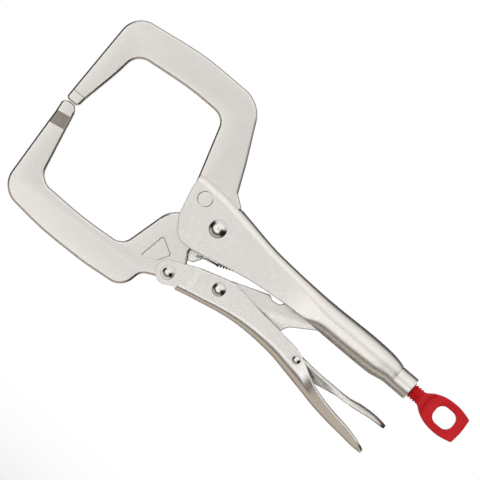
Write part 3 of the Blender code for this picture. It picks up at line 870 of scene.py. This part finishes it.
def opening_spring(sides=8):
    """The tension spring that pulls the moving jaw open, swept along its centre line."""
    path = spring_line()
    shape = bmesh.new()
    rings = []
    normal = Vector((0.0, 0.0, 1.0))
    for index, point in enumerate(path):
        before, after = path[max(index - 1, 0)], path[min(index + 1, len(path) - 1)]
        tangent = (after - before).normalized()
        normal = (normal - tangent * normal.dot(tangent)).normalized()
        across = tangent.cross(normal)
        ring = []
        for i in range(sides):
            angle = math.tau * i / sides
            offset = (normal * math.cos(angle) + across * math.sin(angle)) * SPRING_WIRE
            ring.append(shape.verts.new(point + offset))
        rings.append(ring)
    for ring, following in zip(rings, rings[1:]):
        bridge(shape, ring, following)
    shape.faces.new(rings[0])
    shape.faces.new(rings[-1])
    return finished("opening_spring_coil", shape, 60.0)


# Materials.

# Plating rubbed bright along edges, and the painted shade that darkens narrow gaps within a reach in
# millimetres.
RUBBED = (0.9, 0.89, 0.87)
PAINTED_GAP_SHADE = (0.07, 0.065, 0.06)
GAP_SHADE_REACH = 0.5


def add(tree, kind, inputs=None, **settings):
    """Adds a node, sets it, and fills or links its inputs."""
    made = tree.nodes.new(kind)
    for key, value in settings.items():
        setattr(made, key, value)
    for key, value in (inputs or {}).items():
        if isinstance(value, bpy.types.NodeSocket):
            tree.links.new(value, made.inputs[key])
        else:
            made.inputs[key].default_value = value
    return made


def maths(tree, operation, *values, clamp=False):
    """A math node's result."""
    made = add(tree, "ShaderNodeMath", dict(enumerate(values)), operation=operation, use_clamp=clamp)
    return made.outputs[0]


def ramp(tree, value, low, high, start=0.0, end=1.0):
    """Maps a value from low..high smoothly to start..end."""
    inputs = {"Value": value, "From Min": low, "From Max": high, "To Min": start, "To Max": end}
    return add(tree, "ShaderNodeMapRange", inputs, interpolation_type="SMOOTHSTEP").outputs["Result"]


def noise(tree, place, size, detail=3.0, rough=0.55, stretch=None):
    """Noise with features of about the given size in millimetres, centred on 0.5."""
    if stretch is not None:
        place = add(tree, "ShaderNodeMapping", {"Vector": place, "Scale": stretch}).outputs[0]
    inputs = {"Vector": place, "Scale": 1.0 / (size * MM), "Detail": detail, "Roughness": rough}
    return add(tree, "ShaderNodeTexNoise", inputs).outputs["Fac"]


def mix(tree, fac, a, b):
    """Mixes two colours."""
    made = tree.nodes.new("ShaderNodeMix")
    made.data_type = "RGBA"
    # The node keeps its colour inputs behind those for numbers and vectors.
    for index, value in ((0, fac), (6, a), (7, b)):
        if isinstance(value, bpy.types.NodeSocket):
            tree.links.new(value, made.inputs[index])
        else:
            made.inputs[index].default_value = (*value, 1.0) if isinstance(value, tuple) else value
    return made.outputs[2]


def material(name):
    """A new material, its tree and shader, and the object coordinates that its textures use."""
    made = bpy.data.materials.new(name)
    made.use_nodes = True
    tree = made.node_tree
    place = add(tree, "ShaderNodeTexCoord").outputs["Object"]
    return made, tree, tree.nodes["Principled BSDF"], place


def dot_product(tree, a, b):
    """The dot product of two directions."""
    return add(tree, "ShaderNodeVectorMath", {0: a, 1: b}, operation="DOT_PRODUCT").outputs["Value"]


def edge_mask(tree, radius):
    """1 on edges sharper than the given radius in millimetres, and 0 on flats."""
    rounded = add(tree, "ShaderNodeBevel", {"Radius": radius * MM}, samples=4).outputs[0]
    flat = add(tree, "ShaderNodeNewGeometry").outputs["Normal"]
    return ramp(tree, dot_product(tree, rounded, flat), 0.995, 0.88)


def openness(tree, reach):
    """1 in the open, and less where other surfaces lie within reach, in millimetres."""
    return add(tree, "ShaderNodeAmbientOcclusion", {"Distance": reach * MM}, samples=8).outputs["AO"]


def steel(name, colour, rough, grain, relief, edge=0.35, brushed=None, wear=0.5, rolled=None, gap_shade=0.0):
    """Plated steel: blasted or brushed grain, faint stains, and plating rubbed brighter along its edges.

    The grain's size and relief are in millimetres, and brushed stretches it. Between the two places along X
    in rolled, the upper part turns duller. The last argument sets how dark the painted shade in its narrow
    gaps is.
    """
    made, tree, shader, place = material(name)
    fine = noise(tree, place, grain, 4.0, 0.6, brushed)
    coarse = noise(tree, place, grain * 7.0, 3.0)
    cloud = noise(tree, place, 22.0, 2.0)
    dark = tuple(c * 0.84 for c in colour)
    light = tuple(min(1.0, c * 1.12) for c in colour)
    base = mix(tree, ramp(tree, fine, 0.3, 0.7), dark, light)
    stain = (colour[0], colour[1] * 0.975, colour[2] * 0.93)
    base = mix(tree, ramp(tree, cloud, 0.42, 0.7, 0.0, 0.5), base, stain)
    worn = edge_mask(tree, edge)
    base = mix(tree, maths(tree, "MULTIPLY", worn, wear), base, RUBBED)
    # Painted shade: narrow gaps, where other surfaces lie close, are darkened in the colour.
    if gap_shade:
        gaps = ramp(tree, openness(tree, GAP_SHADE_REACH), 0.92, 0.55, 0.0, gap_shade)
        base = mix(tree, gaps, base, PAINTED_GAP_SHADE)
    tree.links.new(base, shader.inputs["Base Color"])
    shader.inputs["Metallic"].default_value = 1.0
    uneven = ramp(tree, coarse, 0.3, 0.7, rough - 0.025, rough + 0.03)
    if rolled:
        start, end = (ZERO.x + x * MM for x in rolled)
        along, _, level = add(tree, "ShaderNodeSeparateXYZ", {0: place}).outputs
        upper = ramp(tree, level, ZERO.z - 18.0 * MM, ZERO.z - 12.0 * MM)
        tube = maths(tree, "MULTIPLY", ramp(tree, along, start, end, 0.0, ROLLED_DULL), upper)
        uneven = maths(tree, "ADD", uneven, tube)
    smoother = maths(tree, "MULTIPLY", worn, 0.12)
    tree.links.new(maths(tree, "SUBTRACT", uneven, smoother), shader.inputs["Roughness"])
    height = maths(tree, "ADD", fine, maths(tree, "MULTIPLY", coarse, 0.4))
    rounded = add(tree, "ShaderNodeBevel", {"Radius": edge * MM}, samples=4).outputs[0]
    inputs = {"Height": height, "Strength": 1.0, "Distance": relief * MM, "Normal": rounded}
    bump = add(tree, "ShaderNodeBump", inputs).outputs["Normal"]
    tree.links.new(bump, shader.inputs["Normal"])
    return made


def satin_forging():
    """Bead-blasted nickel plate on the forged jaws and link."""
    return steel("satin_forging_plate", (0.80, 0.785, 0.765), rough=0.32, grain=0.45, relief=0.012)


def satin_sheet():
    """Finer satin plate on the pressed handles, duller where the upper one is rolled into a tube."""
    return steel(
        "satin_sheet_plate",
        (0.85, 0.835, 0.815),
        rough=0.30,
        grain=0.4,
        relief=0.006,
        edge=0.3,
        rolled=(TUBE_START, TUBE_END),
        gap_shade=0.7,
    )


def brushed_sheet():
    """The release lever's coarser plate, with lines drawn along it."""
    return steel(
        "brushed_sheet_plate",
        (0.74, 0.725, 0.71),
        rough=0.30,
        grain=0.5,
        relief=0.012,
        edge=0.3,
        brushed=(0.12, 1.0, 1.0),
    )


def ground_steel():
    """Bare steel ground across the lower jaw's tip."""
    return steel(
        "ground_steel",
        (0.285, 0.262, 0.228),
        rough=0.34,
        grain=0.35,
        relief=0.008,
        edge=0.2,
        brushed=(1.0, 1.0, 0.15),
        wear=0.2,
    )


def polished_rivet():
    """Polished rivet steel with faint turning marks."""
    return steel(
        "polished_rivet_steel", (0.80, 0.79, 0.77), rough=0.19, grain=0.5, relief=0.0015, edge=0.1, gap_shade=0.9
    )


def spring_wire():
    """Drawn spring wire, a shade darker than the plate."""
    return steel(
        "spring_wire_steel", (0.62, 0.61, 0.59), rough=0.26, grain=0.3, relief=0.003, edge=0.1, wear=0.2
    )


def red_coat():
    """Semi-gloss red powder coat: fine peel, painted shade in the thread's roots, scuffed on the key's
    edges.
    """
    made, tree, shader, place = material("red_powder_coat")
    peel = noise(tree, place, 0.7, 3.0)
    cloud = noise(tree, place, 6.0, 3.0)
    base = mix(tree, ramp(tree, cloud, 0.35, 0.68), (0.66, 0.006, 0.014), (0.76, 0.012, 0.020))
    # Painted shade: the thread's roots, hemmed in by their flanks, are darkened in the colour.
    roots = ramp(tree, openness(tree, 1.2), 0.9, 0.35, 0.0, 0.75)
    base = mix(tree, roots, base, (0.22, 0.004, 0.012))
    worn = edge_mask(tree, 0.5)
    scuff = maths(tree, "MULTIPLY", worn, ramp(tree, noise(tree, place, 1.6), 0.45, 0.7, 0.0, 0.55))
    base = mix(tree, scuff, base, (0.30, 0.006, 0.014))
    tree.links.new(base, shader.inputs["Base Color"])
    tree.links.new(ramp(tree, peel, 0.3, 0.7, 0.36, 0.5), shader.inputs["Roughness"])
    shader.inputs["Specular IOR Level"].default_value = 0.25
    bump = add(tree, "ShaderNodeBump", {"Height": peel, "Strength": 1.0, "Distance": 0.015 * MM})
    tree.links.new(bump.outputs["Normal"], shader.inputs["Normal"])
    return made


def paint(obj, *materials):
    """Gives an object its materials."""
    obj.data.materials.clear()
    for item in materials:
        obj.data.materials.append(item)
    return obj


# Studio.

# What the metal mirrors: the panels beside the camera, the side where it stands, the gap at both ends, the
# ceiling, the bench and the bench's shaded front edge.
PANEL = (1.24, 1.225, 1.20)
CAMERA_SIDE = (0.60, 0.587, 0.568)
DARK = (0.012, 0.011, 0.010)
CEILING = (0.88, 0.86, 0.83)
BENCH = (0.575, 0.51, 0.435)
SHADE = (0.055, 0.043, 0.033)

# How far the panels' edge leans from the vertical, and the way to the camera's side, 3 degrees up.
PANEL_LEAN = 0.13
SIDE_FRONT, SIDE_UP = 0.9986, 0.0523

WHITE = (1.0, 1.0, 1.0)


def studio_world():
    """The light tent that the metal mirrors, while the camera itself sees plain white.

    It is bright in front and behind, less so where the camera stands, dark to left and right, pale above and
    warm grey below, with a dark line along the bench's front edge.
    """
    world = bpy.data.worlds.new("light_tent")
    world.use_nodes = True
    bpy.context.scene.world = world
    tree = world.node_tree
    tree.nodes.clear()
    direction = add(tree, "ShaderNodeTexCoord").outputs["Generated"]
    x, y, z = add(tree, "ShaderNodeSeparateXYZ", {0: direction}).outputs
    front = maths(tree, "MULTIPLY", y, -1.0)
    radial = maths(tree, "SQRT", maths(tree, "SUBTRACT", 1.0, maths(tree, "MULTIPLY", y, y), clamp=True))
    radial = maths(tree, "MAXIMUM", radial, 1e-4)
    rise = maths(tree, "DIVIDE", z, radial)
    lean = maths(tree, "DIVIDE", x, radial)
    edge = maths(tree, "SUBTRACT", front, maths(tree, "MULTIPLY", lean, PANEL_LEAN))
    side = mix(tree, ramp(tree, edge, 0.68, 0.90), DARK, PANEL)
    above = mix(tree, ramp(tree, front, -0.5, 0.05), DARK, CEILING)
    above = mix(tree, ramp(tree, front, 0.25, 0.75, 0.0, 0.6), above, PANEL)
    below = mix(tree, ramp(tree, front, -1.1, -0.15), DARK, BENCH)
    below = mix(tree, ramp(tree, front, 0.35, 0.57), below, SHADE)
    below = mix(tree, ramp(tree, front, 0.66, 0.88), below, PANEL)
    tent = mix(tree, ramp(tree, rise, 0.35, 0.75), side, above)
    tent = mix(tree, ramp(tree, rise, -0.35, -0.75), tent, below)
    level_part = maths(tree, "MULTIPLY", front, SIDE_FRONT)
    centre = maths(tree, "ADD", level_part, maths(tree, "MULTIPLY", z, SIDE_UP))
    tent = mix(tree, ramp(tree, centre, 0.955, 0.985), tent, CAMERA_SIDE)
    level = maths(tree, "ABSOLUTE", z)
    behind = maths(tree, "MULTIPLY", ramp(tree, y, 0.7, 0.88), ramp(tree, level, 0.5, 0.3))
    tent = mix(tree, behind, tent, PANEL)
    camera_ray = add(tree, "ShaderNodeLightPath").outputs["Is Camera Ray"]
    seen = mix(tree, camera_ray, tent, WHITE)
    background = add(tree, "ShaderNodeBackground", {"Color": seen, "Strength": 1.0})
    add(tree, "ShaderNodeOutputWorld", {"Surface": background.outputs[0]})


def pale_floor():
    """A pale floor that fades to white where it is seen edge on, low enough for the open jaw and lever."""
    size = 4.0
    shape = bmesh.new()
    height = cad_low.z - FLOOR_DROP * MM
    corners = [(-size, -size), (size, -size), (size, size), (-size, size)]
    shape.faces.new([shape.verts.new((x, y, height)) for x, y in corners])
    mesh = bpy.data.meshes.new("floor")
    shape.to_mesh(mesh)
    shape.free()
    floor = linked("floor", mesh)
    made, tree, shader, _ = material("floor_paper")
    shader.inputs["Base Color"].default_value = (0.93, 0.93, 0.925, 1.0)
    shader.inputs["Roughness"].default_value = 0.9
    shader.inputs["Specular IOR Level"].default_value = 0.0
    facing = add(tree, "ShaderNodeNewGeometry").outputs
    dot = dot_product(tree, facing["Incoming"], facing["Normal"])
    white = add(tree, "ShaderNodeEmission", {"Color": (*WHITE, 1.0), "Strength": 1.0}).outputs[0]
    share = ramp(tree, maths(tree, "ABSOLUTE", dot), 0.09, 0.2)
    blended = add(tree, "ShaderNodeMixShader", {0: share, 1: white, 2: shader.outputs[0]}).outputs[0]
    tree.links.new(blended, tree.nodes["Material Output"].inputs["Surface"])
    mesh.materials.append(made)
    floor.visible_glossy = False
    return floor


# What the photograph shows: the width of its view, the point in its middle and its direction to the right,
# which is the clamp's X turned up by 40 degrees.
VIEW_WIDTH = 258.7
VIEW_MIDDLE = (116.9, 2.2)
VIEW_RIGHT = (0.7615, 0.6481)


def camera():
    """The photograph's view: square on to the clamp's side with a long lens, rolled to slope the clamp."""
    data = bpy.data.cameras.new("camera")
    data.lens = 200.0
    data.sensor_width = 36.0
    width = VIEW_WIDTH * MM
    distance = width * data.lens / data.sensor_width
    obj = linked("camera", data)
    aim = ZERO + midplane(VIEW_MIDDLE) * MM
    right = midplane(VIEW_RIGHT).normalized()
    back = Vector((0.0, -1.0, 0.0))
    up = back.cross(right)
    turn = Matrix((right, up, back)).transposed().to_4x4()
    obj.matrix_world = Matrix.Translation(aim + back * distance) @ turn
    data.clip_start, data.clip_end = 0.05, 20.0
    bpy.context.scene.camera = obj
    return obj


def camera_fill(eye):
    """A wide soft light that stays behind the camera."""
    light = bpy.data.lights.new("camera_fill", "AREA")
    light.shape = "DISK"
    light.size = 1.1
    light.energy = 0.45
    obj = linked("camera_fill", light)
    obj.parent = eye
    obj.location = (0.0, 0.0, 0.1)


# Assembly.


def attach(obj, body, node):
    """Lets a piece ride on its body in place of its CAD node."""
    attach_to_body(obj, body)
    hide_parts(node)


def tip_faces(jaw, ground):
    """Marks the ramped faces near the lower jaw's tip as ground steel."""
    for face in jaw.data.polygons:
        level = ((face.center - ZERO) / MM).z
        across = abs(face.normal.y)
        tilt = abs(face.normal.z) / max(across, 1e-6)
        if -17.0 < level < -6.0 and 0.1 < tilt < 0.25 and across > 0.9:
            face.material_index = ground


def build():
    """Builds every piece, gives it its material and lets it ride on its body."""
    forging, sheet, ground = satin_forging(), satin_sheet(), ground_steel()
    polished, wire, red = polished_rivet(), spring_wire(), red_coat()
    attach(paint(fixed_jaw(), forging), "handle", "fixed_jaw")
    jaw = paint(moving_jaw(), forging, ground)
    tip_faces(jaw, 1)
    attach(jaw, "moving_jaw", "moving_jaw")
    attach(paint(handle(), sheet), "handle", "handle")
    attach(paint(lever(), sheet), "lever", "lever")
    attach(paint(toggle_link(), forging), "toggle_link", "toggle_link")
    attach(paint(release_lever(), brushed_sheet()), "release_lever", "release_lever")
    # Each rivet's node and body, its pivot, shank and head, its seat's half width, and its dome.
    heads = [
        ("main_pivot_rivet", "handle", MAIN_PIVOT, MAIN_SHANK, MAIN_HEAD, HANDLE_HALF, 1.9, 0.94),
        ("lever_rivet", "lever", LEVER_PIVOT, SMALL_SHANK, SMALL_HEAD, LEVER_HALF, 1.4, 0.8),
        ("link_rivet", "lever", LINK_PIVOT, SMALL_SHANK, SMALL_HEAD, GRIP_HALF, 1.5, 0.93),
        ("release_rivet", "lever", RELEASE_PIVOT, RELEASE_SHANK, RELEASE_HEAD, LEVER_HALF + 0.9, 0.9, 0.9),
    ]
    for node, body, pivot, shank, head, seat, crown, share in heads:
        piece = rivet(node + "_set", pivot, shank, head, seat, crown, share)
        attach(paint(piece, polished), body, node)
    attach(paint(flush_pin(), sheet), "handle", "fixed_jaw_pin")
    attach(paint(threaded_shank(), red), "screw", "adjusting_screw")
    attach(paint(loop_key(), red), "screw", "adjusting_screw")
    attach(paint(thrust_pin(), polished), "screw_feed", "thrust_pin")
    coil = paint(opening_spring(), wire)
    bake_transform(coil)
    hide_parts("opening_spring")


build()
studio_world()
pale_floor()
camera_fill(camera())
bpy.context.scene.view_settings.view_transform = "Standard"
